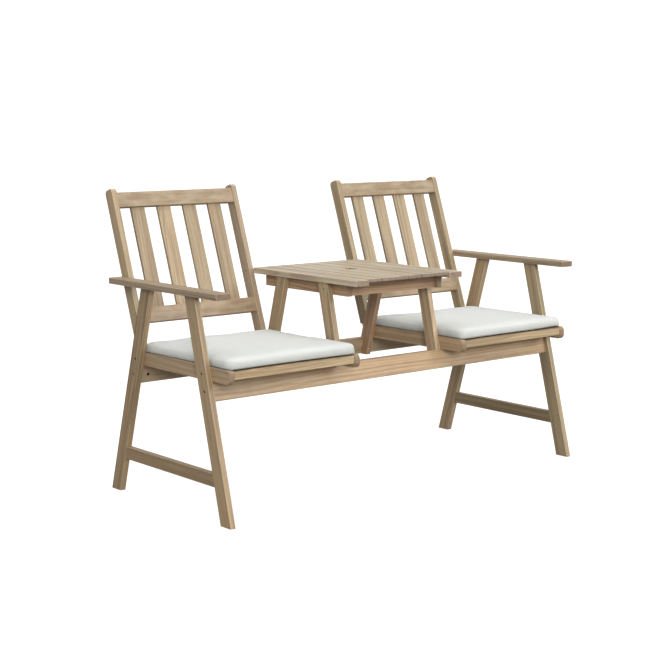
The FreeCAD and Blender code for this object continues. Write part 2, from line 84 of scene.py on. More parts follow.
# Run of the grain, seen from the side: the lean of a piece from upright, towards the back
LEVEL_LEAN = math.radians(90)
FRONT_LEG_LEAN = math.atan(0.26)
REAR_LEG_LEAN = math.atan(-0.288)
BACK_LEAN = math.radians(19.2)
TABLE_FRONT_LEG_LEAN = math.atan(0.233)
TABLE_REAR_LEG_LEAN = math.atan(-0.272)
# Run of the grain of a piece that lies across the bench
ACROSS = "across"

# Per-board factors, how much red, green and blue each board gives back: partly wood that is
# redder, greyer or darker, partly painted light and shade, with boards lightened where shadow
# falls on them and darkened where they are brightly lit
PLAIN_BOARD = (1.0, 1.0, 1.0)
BOARD_TINTS_AND_PAINTED_LIGHT = {
    "front_rail": (1.18, 1.09, 0.98),
    "rear_rail": (1.18, 1.12, 1.10),
    "left_front_leg": (0.95, 0.92, 0.88),
    "left_rear_leg": (0.86, 0.81, 0.76),
    "left_seat_front_bar": (1.36, 1.38, 1.38),
    "right_seat_front_bar": (1.20, 1.21, 1.22),
    "left_back_slat_1": (0.89, 0.94, 0.96),
    "left_back_slat_3": (1.12, 1.09, 1.09),
    "left_back_slat_4": (0.90, 0.86, 0.86),
    "left_back_top_rail": (0.76, 0.71, 0.67),
    "right_back_top_rail": (0.72, 0.65, 0.58),
    "left_back_inner_post": (1.05, 1.04, 1.15),
    "left_table_batten": (1.07, 0.97, 0.97),
    "table_front_apron": (1.08, 0.97, 0.96),
    "right_table_front_leg": (1.52, 1.42, 1.46),
    "right_table_rear_leg": (1.15, 0.93, 0.94),
}
for side in SIDES:
    BOARD_TINTS_AND_PAINTED_LIGHT[side + "_armrest"] = (0.88, 0.92, 1.02)
    BOARD_TINTS_AND_PAINTED_LIGHT[side + "_low_stretcher"] = (0.79, 0.78, 0.74)
    BOARD_TINTS_AND_PAINTED_LIGHT[side + "_seat_outer_rail"] = (1.17, 1.15, 1.19)
    BOARD_TINTS_AND_PAINTED_LIGHT[side + "_seat_inner_rail"] = (1.17, 1.15, 1.17)
    BOARD_TINTS_AND_PAINTED_LIGHT[side + "_back_bottom_rail"] = (0.80, 0.70, 0.68)
    BOARD_TINTS_AND_PAINTED_LIGHT[side + "_table_outer_board"] = (1.28, 1.46, 1.80)
# The table boards are made paler and bluer as a painted reflection of the sky on the top
for name in INNER_BOARDS:
    BOARD_TINTS_AND_PAINTED_LIGHT[name] = (1.28, 1.46, 1.80)
for name in BACK_SLATS:
    BOARD_TINTS_AND_PAINTED_LIGHT["right_" + name] = (0.98, 1.02, 1.08)

# Each board is cut from its own place in a log, at this distance from the heart
NEAREST_TO_HEART = 0.05
FURTHEST_FROM_HEART = 0.12
LOG_LENGTH = 3.0
# How far apart in the log the slats of one row are cut
ROW_SPREAD = 0.2
# How much redder one board is than the next, and how much closer or wider its rings are
BLUSH_SPREAD = 0.03
RING_PITCH_SPREAD = (0.8, 1.25)

# Patterns of the timber: clouds twice across the grain, then along it
WANDER = Clouds((7.0, 7.0, 1.7))
FIBRES = Clouds((620.0, 620.0, 9.0), layers=3.0, roughness=0.6, start=0.30, full=0.78, share=0.25)
STREAKS = Clouds((85.0, 85.0, 1.6), layers=3.0, start=0.38, full=0.64, share=0.55)
TONES = Clouds((14.0, 14.0, 3.5), layers=3.0)
PORES = Clouds((900.0, 900.0, 55.0), layers=1.0, start=0.66, full=0.74)
FLUSHES = Clouds((9.0, 9.0, 1.6), layers=1.0, start=0.46, full=0.70, share=0.45)
GREYING = Clouds((22.0, 22.0, 1.1), start=0.50, full=0.74, share=0.8)
END_SPECKS = Clouds(
    (420.0, 420.0, 30.0), layers=3.0, roughness=0.65, start=0.35, full=0.70, share=0.45
)
# Patches along the eased edges, for wear and painted light alike
EDGE_PATCHES = Clouds((60.0, 60.0, 18.0), start=0.3, full=0.7)

# How far the rings wander from true circles, in metres
WANDER_REACH = 0.026
# Parts of a year at which the late wood starts, is full, and breaks off before the next year
LATE_START = 0.35
LATE_FULL = 0.86
LATE_STOP = 0.90
# How squarely a face looks along the grain where end grain starts to show, and shows fully
END_GRAIN_START = 0.80
END_GRAIN_FULL = 0.97
# How squarely a face looks out where an eased edge starts, and where its edge mark (wear, painted
# highlight or painted shade) is full
EDGE_START = 0.998
EDGE_FULL = 0.94
# Part of the edge mark that shows everywhere, whether wear, painted highlight or painted shade
EVEN_EDGE_SHARE = 0.3

# How strongly the late wood darkens a face and an end, and pores and end grain show
LATE_SHARE = 0.40
LATE_SHARE_AT_ENDS = 0.35
PORE_SHARE = 0.4
END_GRAIN_SHARE = 0.7
# How much a pattern adds, and the value without it
BOARD_TONE = (0.26, 0.87)
BOARD_ROUGHNESS = (0.16, 0.33)
ROUGHER_ENDS = 0.2
# Parts of the relief: fibres stand up, pores and late wood lie low
FIBRE_HEIGHT = 0.55
PORE_DEPTH = 0.8
LATE_DEPTH = 0.25
RELIEF_STRENGTH = 0.8

# Tints of the timber: where it turns pink or grey, its pores and its dark end grain
PINK_FLUSH = (1.0, 0.90, 0.88, 1)
GREY_WASH = (0.92, 0.95, 0.99, 1)
PORE_COLOUR = (0.11, 0.07, 0.045, 1)
DARK_END = (0.15, 0.095, 0.06, 1)

# Colour of the eased edges and how much of it shows: pale from wear and as a painted highlight
# along the arrises, or dark as painted shade in the gaps between table boards and under the
# cushions
PALE_EDGES_WEAR_AND_HIGHLIGHT = ((0.50, 0.41, 0.29, 1), 0.5)
# Painted shade: the edges of the table boards go dark, as shade in the gaps between them
PAINTED_SHADE_BETWEEN_BOARDS = ((0.13, 0.085, 0.05, 1), 0.95)
# Painted shadow: the edges of the seat rails and bars go dark, as shade under the cushions
PAINTED_SHADE_UNDER_CUSHIONS = ((0.17, 0.115, 0.068, 1), 0.7)

# Zinc plate: its patterns, its dark patches, the painted shade around the rim of a bolt head, and
# its roughness
MOTTLE = Clouds((900.0, 900.0, 900.0), layers=3.0, start=0.40, full=0.75)
SCRATCHES = Clouds((300.0, 4000.0, 4000.0), layers=1.0)
PATCH_SHADE = 0.55
RIM_PAINTED_SHADE = (0.03, 0.025, 0.02, 1)
RIM_START = 0.25
RIM_FULL = 0.65
ZINC_ROUGHNESS = (0.25, 0.15)
SCRATCH_DEPTH = 0.0001
SCRATCH_STRENGTH = 0.4

# Cloth: thick places in the threads of each direction, and slow changes of tone
SLUBS = Clouds((70.0, 900.0, 1.0))
SLUBS_ACROSS = Clouds((900.0, 70.0, 1.0))
FADING = Clouds((9.0, 9.0, 1.0), layers=3.0)
# How sharply one thread passes under the next, and the heights of a gap and of a thread
CROSSING_WIDTH = 0.35
GAP_HEIGHT = 0.15
THREAD_HEIGHT = 0.85
# How much the slubs add to the tone, and the tone without them, then the other shades
CLOTH_TONE = (0.07, 0.90)
FADING_SHARE = 0.06
# Darkening along the sewn seams: painted shade in the dips of the seams
SEAM_SHADE = 0.05
# How closely the painted shade under the cushion keeps to its pressed-flat bottom
UNDERSIDE_SHADE_EDGE = 1.8
CLOTH_ROUGHNESS = (0.08, 0.80)
SLUB_HEIGHT = 0.5
WEAVE_DEPTH = 0.00025
WEAVE_STRENGTH = 0.7
CLOTH_SHADER = {
    "Subsurface Weight": 1.0,
    "Subsurface Radius": (1.0, 1.0, 1.0),
    "Subsurface Scale": 0.12,
    "Sheen Weight": 0.05,
    "Sheen Roughness": 0.5,
    "Specular IOR Level": 0.2,
}

# Facets around the corners and edges of a cut cover
CORNER_SEGMENTS = 8
UPPER_EDGE_SEGMENTS = 5
LOWER_EDGE_SEGMENTS = 3
# How closely the extra height of the corners keeps to them
CORNER_POWER = 6
# Frames that the filling takes to settle, and the cloth of the cover while it does
SETTLE_FRAMES = 20
COVER_CLOTH = {
    "quality": 6,
    "mass": 0.35,
    "tension_stiffness": 25,
    "compression_stiffness": 25,
    "shear_stiffness": 8,
    "bending_stiffness": 2.5,
    "use_pressure": True,
}
# Puckers beside a seam: how many per metre, how high, and their reach in seam widths
PUCKERS_PER_METRE = 95.0
PUCKER_HEIGHT = 0.0006
PUCKER_REACH = 4
# Slack waves of the top: waves per metre, where their pattern is sliced, and their height
RUMPLES = ((9, 2.0, 0.0016), (26, 7.0, 0.0006))
# Where the top of a loose cushion is less full, and where the cushion lifts off the seat:
# shares of its width and depth, then the rise and its reach in metres
SLACK_SPOTS = {
    "left": ((0.0, 1.0, -0.0010, 0.10), (1.0, 1.0, -0.0030, 0.12)),
    "right": ((0.45, 1.0, -0.0030, 0.12), (1.0, 1.0, -0.0030, 0.12), (1.0, 0.0, -0.0050, 0.08)),
}
LIFTED_SPOTS = {"left": (), "right": ((1.0, 0.0, 0.0040, 0.08),)}

# The floor lies just under the feet. It gives back little light, and looks white to the eye
FLOOR_SIDES = 96
FLOOR_DROP = 0.0005
FLOOR_FOR_LIGHT = (0.22, 0.22, 0.22, 1)
FLOOR_FOR_EYE = (0.25, 0.25, 0.25, 1)
NO_GLOW = (0, 0, 0, 1)
FLOOR_GLOW = (0.9, 0.9, 0.9, 1)
FLOOR_SHADER = {"Emission Strength": 1.0, "Roughness": 0.9, "Specular IOR Level": 0.1}
SKY_COLOUR = (1, 1, 1, 1)
BACKDROP_GLOW = 1.1

# Each light: where it comes from, and its width in degrees
LIGHTS = {
    "left_light": ((-0.46, -0.83, 0.31), 18),
    "right_light": ((0.44, -0.82, 0.34), 18),
    "top_light": ((0.0, -0.15, 1.0), 60),
}
LIGHT_DISTANCE = 3

# The camera: its place in metres, its tilt up from straight down and its turn in degrees, its
# sensor in millimetres, and how far it sees in metres
CAMERA_PLACE = (-3.0322, -3.5653, 1.12805)
CAMERA_TILT = 81.724
CAMERA_TURN = -39.758
SENSOR_WIDTH = 36.0
SIGHT_REACH = 200


class BenchTimber(bpy.types.PropertyGroup):
    """Washed hardwood of all the boards."""

    early_wood: bpy.props.FloatVectorProperty(
        name="Early wood",
        description="Colour of the pale wood between the rings",
        subtype="COLOR",
        size=4,
        min=0,
        max=1,
        default=(0.435, 0.326, 0.190, 1),
    )
    late_wood: bpy.props.FloatVectorProperty(
        name="Late wood",
        description="Colour of the ring lines and streaks",
        subtype="COLOR",
        size=4,
        min=0,
        max=1,
        default=(0.245, 0.168, 0.094, 1),
    )
    end_grain: bpy.props.FloatVectorProperty(
        name="End grain",
        description="Colour of the cut ends",
        subtype="COLOR",
        size=4,
        min=0,
        max=1,
        default=(0.250, 0.160, 0.118, 1),
    )
    ring_pitch: bpy.props.FloatProperty(
        name="Ring pitch",
        description="Distance between two growth rings",
        unit="LENGTH",
        default=0.0046,
    )
    relief: bpy.props.FloatProperty(
        name="Grain relief",
        description="Depth of the grain",
        unit="LENGTH",
        default=0.0003,
    )
    tone_spread: bpy.props.FloatProperty(
        name="Tone spread",
        description="How much lighter or darker one board is than the next",
        default=0.06,
    )


class BenchCloth(bpy.types.PropertyGroup):
    """Plain woven cloth of the cushion covers."""

    thread: bpy.props.FloatVectorProperty(
        name="Thread",
        description="Colour of the cloth",
        subtype="COLOR",
        size=4,
        min=0,
        max=1,
        default=(0.557, 0.578, 0.55, 1),
    )
    # The darker colour of the gaps is painted shade between the threads
    between_threads: bpy.props.FloatVectorProperty(
        name="Between threads",
        description="Colour of the gaps of the weave",
        subtype="COLOR",
        size=4,
        min=0,
        max=1,
        default=(0.47, 0.48, 0.458, 1),
    )
    # Painted shade: the near-black colour of the cushion's bottom, where the contact shadow falls
    # on the seat
    underside: bpy.props.FloatVectorProperty(
        name="Underside",
        description="Colour of the soiled cloth that lies on the seat",
        subtype="COLOR",
        size=4,
        min=0,
        max=1,
        default=(0.06, 0.052, 0.045, 1),
    )
    thread_pitch: bpy.props.FloatProperty(
        name="Thread pitch",
        description="Distance between two threads of the weave",
        unit="LENGTH",
        default=0.0011,
    )


class BenchCushion(bpy.types.PropertyGroup):
    """Cut, filling and seams of a seat cushion."""

    front_corner: bpy.props.FloatProperty(
        name="Front corner",
        description="Radius of the two front corners before filling, seen from above",
        unit="LENGTH",
        default=0.024,
    )
    rear_corner: bpy.props.FloatProperty(
        name="Rear corner",
        description="Radius of the two rear corners before filling, seen from above",
        unit="LENGTH",
        default=0.015,
    )
    side_height: bpy.props.FloatProperty(
        name="Side height",
        description="Height of the boxed sides before filling",
        unit="LENGTH",
        default=0.0255,
    )
    upper_edge: bpy.props.FloatProperty(
        name="Upper edge",
        description="Radius of the soft upper edge before filling",
        unit="LENGTH",
        default=0.005,
    )
    lower_edge: bpy.props.FloatProperty(
        name="Lower edge",
        description="Radius of the crisper lower edge before filling",
        unit="LENGTH",
        default=0.002,
    )
    crown: bpy.props.FloatProperty(
        name="Crown",
        description="How far the middle of the top stands above its edges before filling",
        unit="LENGTH",
        default=0.003,
    )
    crown_reach: bpy.props.FloatProperty(
        name="Crown reach",
        description="Distance from the sides over which the top rises",
        unit="LENGTH",
        default=0.15,
    )
    corner_rise: bpy.props.FloatProperty(
        name="Corner rise",
        description="How much taller the corners are cut, as filling pulls them down",
        unit="LENGTH",
        default=0.0025,
    )
    side_slope: bpy.props.FloatProperty(
        name="Side slope",
        description="How far the top is set in from the underside, all around",
        unit="LENGTH",
        default=0.0045,
    )
    sink: bpy.props.FloatProperty(
        name="Sink",
        description="How much of the filled cover is pressed flat against the seat",
        unit="LENGTH",
        default=0.0045,
    )
    side_draw: bpy.props.FloatProperty(
        name="Side draw",
        description="How far the sides pull in between the corners",
        unit="LENGTH",
        default=0.004,
    )
    mesh_size: bpy.props.FloatProperty(
        name="Mesh size",
        description="Size of the faces that the filling is simulated with",
        unit="LENGTH",
        default=0.0052,
    )
    allowance: bpy.props.FloatProperty(
        name="Allowance",
        description="How much larger the cover is cut, all around, as filling draws it in",
        unit="LENGTH",
        default=0.0015,
    )
    swell_limit: bpy.props.FloatProperty(
        name="Swell limit",
        description="Furthest that the filling pushes the cover",
        unit="LENGTH",
        default=0.005,
    )
    pressure: bpy.props.FloatProperty(
        name="Pressure",
        description="Push of the filling on the cover",
        default=4.0,
    )
    seam_depth: bpy.props.FloatProperty(
        name="Seam depth",
        description="Depth of the sewn seams",
        unit="LENGTH",
        default=0.0006,
    )
    seam_width: bpy.props.FloatProperty(
        name="Seam width",
        description="Width of the dip along a seam",
        unit="LENGTH",
        default=0.0025,
    )


class BenchSteel(bpy.types.PropertyGroup):
    """Zinc plated bolts and nuts."""

    plating: bpy.props.FloatVectorProperty(
        name="Plating",
        description="Colour of the zinc of the small bolts",
        subtype="COLOR",
        size=4,
        min=0,
        max=1,
        default=(0.90, 0.88, 0.84, 1),
    )
    # Dark zinc, darkened further as painted shade of the deep counterbores of the leg bolts
    dark_plating_and_shade: bpy.props.FloatVectorProperty(
        name="Dull plating",
        description="Colour of the darker zinc of the leg bolts and nuts",
        subtype="COLOR",
        size=4,
        min=0,
        max=1,
        default=(0.05, 0.045, 0.04, 1),
    )


class BenchStage(bpy.types.PropertyGroup):
    """Floor, light and camera."""

    floor_radius: bpy.props.FloatProperty(
        name="Floor radius",
        description="Size of the pale floor",
        unit="LENGTH",
        default=40.0,
    )
    left_light: bpy.props.FloatProperty(
        name="Left light",
        description="Strength of the low light in front of the bench, to its left",
        default=1.55,
    )
    right_light: bpy.props.FloatProperty(
        name="Right light",
        description="Strength of the low light in front of the bench, to its right",
        default=0.72,
    )
    top_light: bpy.props.FloatProperty(
        name="Top light",
        description="Strength of the wide light overhead",
        default=1.75,
    )
    sky: bpy.props.FloatProperty(
        name="Sky light",
        description="Strength of the even light from all around",
        default=0.58,
    )
    lens: bpy.props.FloatProperty(
        name="Lens",
        description="Focal length of the camera, in millimetres",
        default=82.54,
    )


def on_both_sides(*names):
    """The left and right node names of pieces that the bench has on both sides."""
    return [side + "_" + name for side in SIDES for name in names]


def deselect_all():
    """Leave edit mode and select nothing."""
    if bpy.context.object is not None and bpy.context.object.mode != "OBJECT":
        bpy.ops.object.mode_set(mode="OBJECT")
    bpy.ops.object.select_all(action="DESELECT")


def use_only(piece):
    """Select one piece and make it the active one."""
    deselect_all()
    piece.select_set(True)
    bpy.context.view_layer.objects.active = piece


def paint(piece, material):
    """Give a piece one material, in all of its slots."""
    slots = piece.data.materials
    if not slots:
        slots.append(material)
    for index in range(len(slots)):
        slots[index] = material


class Wiring:
    """Short calls to add and join the nodes of one shader tree."""

    def __init__(self, tree):
        self.tree = tree

    def add(self, kind, settings=None, **sockets):
        """Add a node; each named socket takes a number, a colour or another node's output."""
        made = self.tree.nodes.new(kind)
        for name, value in (settings or {}).items():
            setattr(made, name, value)
        for name, value in sockets.items():
            self.feed(made.inputs[name.replace("_", " ")], value)
        return made

    def feed(self, socket, value):
        """Join an output to a socket, or set the socket's own value."""
        if isinstance(value, bpy.types.NodeSocket):
            self.tree.links.new(value, socket)
        else:
            socket.default_value = value

    def math(self, operation, first, second=0.0, third=0.0):
        """One arithmetic step on numbers."""
        made = self.tree.nodes.new("ShaderNodeMath")
        made.operation = operation
        for socket, value in zip(made.inputs, (first, second, third)):
            self.feed(socket, value)
        return made.outputs[0]

    def vector(self, operation, first, second=None, scale=None):
        """One arithmetic step on vectors."""
        made = self.tree.nodes.new("ShaderNodeVectorMath")
        made.operation = operation
        self.feed(made.inputs[0], first)
        if second is not None:
            self.feed(made.inputs[1], second)
        if scale is not None:
            self.feed(made.inputs["Scale"], scale)
        return made.outputs["Value" if operation == "LENGTH" else "Vector"]

    def ramp(self, value, low, high, start=0.0, end=1.0):
        """A smooth step from start to end as value goes from low to high."""
        made = self.add(
            "ShaderNodeMapRange",
            {"interpolation_type": "SMOOTHSTEP", "clamp": True},
            Value=value,
            From_Min=low,
            From_Max=high,
            To_Min=start,
            To_Max=end,
        )
        return made.outputs["Result"]

    def mix(self, share, first, second, blend="MIX"):
        """A colour mixed from two."""
        made = self.tree.nodes.new("ShaderNodeMix")
        made.data_type = "RGBA"
        made.blend_type = blend
        for name, value in (("Factor_Float", share), ("A_Color", first), ("B_Color", second)):
            self.feed(next(s for s in made.inputs if s.identifier == name), value)
        return next(s for s in made.outputs if s.identifier == "Result_Color")

    def clouds(self, place, kind, output="Fac"):
        """The value of a cloudy pattern at a place, or its colour."""
        made = self.add(
            "ShaderNodeTexNoise",
            {"noise_dimensions": "3D"},
            Vector=self.vector("MULTIPLY", place, kind.per_metre),
            Scale=1.0,
            Detail=kind.layers,
            Roughness=kind.roughness,
        )
        return made.outputs[output]

    def strength(self, value, kind):
        """How strongly a cloudy pattern shows where it has this value."""
        return self.ramp(value, kind.start, kind.full, 0.0, kind.share)

    def shown(self, place, kind):
        """How strongly a cloudy pattern shows at a place."""
        return self.strength(self.clouds(place, kind), kind)

    def relief(self, height, depth, strength):
        """The normal of a surface with a relief of this depth."""
        made = self.add("ShaderNodeBump", Height=height, Distance=depth, Strength=strength)
        return made.outputs["Normal"]

    def attribute(self, name):
        """A value that is kept at the points of the mesh."""
        return self.add("ShaderNodeAttribute", {"attribute_name": name}).outputs["Fac"]


def new_group(name, inputs, outputs):
    """An empty shader group with named sockets, and the wiring inside it."""
    group = bpy.data.node_groups.new(name, "ShaderNodeTree")
    for socket_name, kind in inputs:
        group.interface.new_socket(name=socket_name, in_out="INPUT", socket_type=kind)
    for socket_name, kind in outputs:
        group.interface.new_socket(name=socket_name, in_out="OUTPUT", socket_type=kind)
    wiring = Wiring(group)
    entry = group.nodes.new("NodeGroupInput")
    leave = group.nodes.new("NodeGroupOutput")
    return group, wiring, entry.outputs, leave.inputs


def new_material(name, plain):
    """A material with some plain values on its shader, its wiring, and the shader's sockets."""
    material = bpy.data.materials.new(name)
    material.use_nodes = True
    shader = material.node_tree.nodes["Principled BSDF"]
    for socket, value in plain.items():
        shader.inputs[socket].default_value = value
    return material, Wiring(material.node_tree), shader.inputs


def wandering_grain(wiring, place):
    """A place in the log, moved so that its rings and fibres wander."""
    bend = wiring.clouds(place, WANDER, "Color")
    bend = wiring.vector("SUBTRACT", bend, (0.5, 0.5, 0.5))
    bend = wiring.vector("SCALE", bend, scale=WANDER_REACH)
    return wiring.vector("ADD", place, bend)


def late_share(wiring, place, ring_pitch):
    """Share of late wood at a place in the log, by its distance from the heart."""
    across = wiring.vector("MULTIPLY", place, (1.0, 1.0, 0.0))
    from_heart = wiring.vector("LENGTH", across)
    season = wiring.math("FRACT", wiring.math("DIVIDE", from_heart, ring_pitch))
    rising = wiring.ramp(season, LATE_START, LATE_FULL)
    breaking_off = wiring.ramp(season, 1.0, LATE_STOP)
    return wiring.math("MULTIPLY", rising, breaking_off)


def edge_wear_and_painted_light(wiring, place, facing, share):
    """Edge mark at a place, wear or painted light: up to its share on an eased edge, where no face
    looks squarely out.
    """
    squarest = wiring.math("MAXIMUM", facing["X"], facing["Y"])
    squarest = wiring.math("MAXIMUM", squarest, facing["Z"])
    eased = wiring.ramp(squarest, EDGE_START, EDGE_FULL)
    patchy = wiring.shown(place, EDGE_PATCHES)
    patchy = wiring.math("MULTIPLY_ADD", patchy, 1 - EVEN_EDGE_SHARE, EVEN_EDGE_SHARE)
    return wiring.math("MULTIPLY", eased, wiring.math("MULTIPLY", patchy, share))


def timber_group():
    """Growth rings, fibres, pores, end grain and eased edges of washed hardwood; the edges carry
    wear, a painted highlight or painted shade.
    """
    found = bpy.data.node_groups.get("Washed timber")
    if found:
        return found
    group, wiring, given, result = new_group(
        "Washed timber",
        (
            ("Along grain", "NodeSocketVector"),
            ("Facing", "NodeSocketVector"),
            ("Early wood", "NodeSocketColor"),
            ("Late wood", "NodeSocketColor"),
            ("End grain", "NodeSocketColor"),
            ("Edge", "NodeSocketColor"),
            ("Edge share", "NodeSocketFloat"),
            ("Ring pitch", "NodeSocketFloat"),
            ("Tone", "NodeSocketFloat"),
        ),
        (
            ("Colour", "NodeSocketColor"),
            ("Roughness", "NodeSocketFloat"),
            ("Height", "NodeSocketFloat"),
        ),
    )
    place = given["Along grain"]
    wavy = wandering_grain(wiring, place)
    late = late_share(wiring, wavy, given["Ring pitch"])
    fibre = wiring.clouds(wavy, FIBRES)
    pore = wiring.shown(wavy, PORES)

    lines = wiring.math("ADD", wiring.shown(wavy, STREAKS), wiring.strength(fibre, FIBRES))
    darker = wiring.math("ADD", wiring.math("MULTIPLY", late, LATE_SHARE), lines)
    wood = wiring.mix(darker, given["Early wood"], given["Late wood"])
    wood = wiring.mix(wiring.shown(place, FLUSHES), wood, PINK_FLUSH, "MULTIPLY")
    wood = wiring.mix(wiring.shown(wavy, GREYING), wood, GREY_WASH, "MULTIPLY")
    wood = wiring.mix(wiring.math("MULTIPLY", pore, PORE_SHARE), wood, PORE_COLOUR)

    direction = wiring.vector("ABSOLUTE", given["Facing"])
    facing = wiring.add("ShaderNodeSeparateXYZ", Vector=direction).outputs
    end_on = wiring.ramp(facing["Z"], END_GRAIN_START, END_GRAIN_FULL)
    end_rings = wiring.math("MULTIPLY", late, LATE_SHARE_AT_ENDS)
    end_shade = wiring.math("ADD", wiring.shown(place, END_SPECKS), end_rings)
    end_colour = wiring.mix(end_shade, given["End grain"], DARK_END)
    wood = wiring.mix(wiring.math("MULTIPLY", end_on, END_GRAIN_SHARE), wood, end_colour)
    # Edge mark: pale wear with painted highlight, or painted shade, by the board
    wear_and_painted_light = edge_wear_and_painted_light(wiring, place, facing, given["Edge share"])
    wood = wiring.mix(wear_and_painted_light, wood, given["Edge"])

    tone = wiring.math("MULTIPLY_ADD", wiring.clouds(place, TONES), *BOARD_TONE)
    tone = wiring.math("MULTIPLY", tone, given["Tone"])
    wiring.feed(result["Colour"], wiring.vector("SCALE", wood, scale=tone))

    rough = wiring.math("MULTIPLY_ADD", fibre, *BOARD_ROUGHNESS)
    rough = wiring.math("ADD", rough, wiring.math("MULTIPLY", end_on, ROUGHER_ENDS))
    wiring.feed(result["Roughness"], rough)

    high = wiring.math("MULTIPLY", fibre, FIBRE_HEIGHT)
    high = wiring.math("SUBTRACT", high, wiring.math("MULTIPLY", pore, PORE_DEPTH))
    high = wiring.math("SUBTRACT", high, wiring.math("MULTIPLY", late, LATE_DEPTH))
    wiring.feed(result["Height"], high)
    return group


def place_in_row(wiring, place, start, pitch):
    """Give each board of a row its own place in the log, by its number along X."""
    parts = wiring.add("ShaderNodeSeparateXYZ", Vector=place)
    number = wiring.math("SUBTRACT", parts.outputs["X"], start)
    number = wiring.math("FLOOR", wiring.math("DIVIDE", number, pitch))
    chance = wiring.add("ShaderNodeTexWhiteNoise", {"noise_dimensions": "1D"}, W=number)
    moved = wiring.vector("SCALE", chance.outputs["Color"], scale=ROW_SPREAD)
    return wiring.vector("ADD", place, moved)


def edges_of(name):
    """Colour of the eased edges of a board, and how much of it shows: painted shade between table
    boards and under the cushions, elsewhere pale wear with a painted highlight.
    """
    if name in INNER_BOARDS:
        return PAINTED_SHADE_BETWEEN_BOARDS
    if "_seat_" in name:
        return PAINTED_SHADE_UNDER_CUSHIONS
    return PALE_EDGES_WEAR_AND_HIGHLIGHT


def board_material(name, run, in_a_row):
    """Washed timber for one piece, whose grain follows run and whose rings are its own."""
    looks = bpy.context.scene.bench_timber
    low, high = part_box(name)
    turn = Euler((0, -LEVEL_LEAN, 0)) if run == ACROSS else Euler((run, 0, 0))
    middle = turn.to_matrix() @ ((low + high) / 2)

    chance = random.Random(name)
    reach = chance.uniform(NEAREST_TO_HEART, FURTHEST_FROM_HEART)
    angle = chance.uniform(0, math.tau)
    along_log = chance.uniform(0, LOG_LENGTH)
    tone = 1 + chance.uniform(-looks.tone_spread, looks.tone_spread)
    blush = chance.uniform(-BLUSH_SPREAD, BLUSH_SPREAD)
    ring_pitch = looks.ring_pitch * chance.uniform(*RING_PITCH_SPREAD)

    in_log = Vector((reach * math.cos(angle), reach * math.sin(angle), along_log))
    # Board factors: the wood's own tint, plus painted light and shade for some boards
    tint_and_painted_light = BOARD_TINTS_AND_PAINTED_LIGHT.get(name, PLAIN_BOARD)
    flushed = (1 + blush, 1 - blush / 2, 1 - blush / 2)
    early, late = (
        (*(part * share * flush for part, share, flush in zip(colour, tint_and_painted_light, flushed)), 1)
        for colour in (looks.early_wood, looks.late_wood)
    )
    edge, edge_share = edges_of(name)

    material, wiring, shader = new_material(name + "_timber", {})
    source = wiring.add("ShaderNodeTexCoord").outputs
    place = source["Object"]
    if in_a_row > 1:
        place = place_in_row(wiring, place, low.x, (high.x - low.x) / in_a_row)
    along = wiring.add(
        "ShaderNodeMapping",
        {"vector_type": "POINT"},
        Vector=place,
        Rotation=turn,
        Location=in_log - middle,
    )
    facing = wiring.add(
        "ShaderNodeMapping", {"vector_type": "VECTOR"}, Vector=source["Normal"], Rotation=turn
    )
    timber = wiring.add(
        "ShaderNodeGroup",
        {"node_tree": timber_group()},
        Along_grain=along.outputs[0],
        Facing=facing.outputs[0],
        Early_wood=early,
        Late_wood=late,
        End_grain=looks.end_grain,
        Edge=edge,
        Edge_share=edge_share,
        Ring_pitch=ring_pitch,
        Tone=tone,
    ).outputs
    wiring.feed(shader["Base Color"], timber["Colour"])
    wiring.feed(shader["Roughness"], timber["Roughness"])
    relief = wiring.relief(timber["Height"], looks.relief, RELIEF_STRENGTH)
    wiring.feed(shader["Normal"], relief)
    return material


def finish_boards(names, run, in_a_row=1):
    """Give each named timber piece, or row of like boards, its own board material."""
    for name in names:
        paint(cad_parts[name], board_material(name, run, in_a_row))


class BENCH_OT_finish_long_rails(bpy.types.Operator):
    """Finish the front and rear rails"""

    bl_idname = "bench.finish_long_rails"
    bl_label = "Finish Long Rails"

    def execute(self, context):
        """Grain runs across the bench."""
        finish_boards(("front_rail", "rear_rail"), ACROSS)
        return {"FINISHED"}


class BENCH_OT_finish_seat_legs(bpy.types.Operator):
    """Finish the four seat legs and their low stretchers"""

    bl_idname = "bench.finish_seat_legs"
    bl_label = "Finish Seat Legs"

    def execute(self, context):
        """Grain follows the lean of each leg, and runs to the back in the stretchers."""
        finish_boards(on_both_sides("front_leg"), FRONT_LEG_LEAN)
        finish_boards(on_both_sides("rear_leg"), REAR_LEG_LEAN)
        finish_boards(on_both_sides("low_stretcher"), LEVEL_LEAN)
        return {"FINISHED"}


class BENCH_OT_finish_armrests(bpy.types.Operator):
    """Finish the two armrests"""

    bl_idname = "bench.finish_armrests"
    bl_label = "Finish Armrests"

    def execute(self, context):
        """Grain runs from front to back."""
        finish_boards(on_both_sides("armrest"), LEVEL_LEAN)
        return {"FINISHED"}


class BENCH_OT_finish_seat_frames(bpy.types.Operator):
    """Finish the rails, bars and slats under the cushions"""

    bl_idname = "bench.finish_seat_frames"
    bl_label = "Finish Seat Frames"

    def execute(self, context):
        """Side rails and slats run to the back, bars run across."""
        finish_boards(on_both_sides("seat_outer_rail", "seat_inner_rail"), LEVEL_LEAN)
        finish_boards(on_both_sides("seat_front_bar", "seat_rear_bar"), ACROSS)
        finish_boards(on_both_sides("seat_slats"), LEVEL_LEAN, SEAT_SLAT_COUNT)
        return {"FINISHED"}


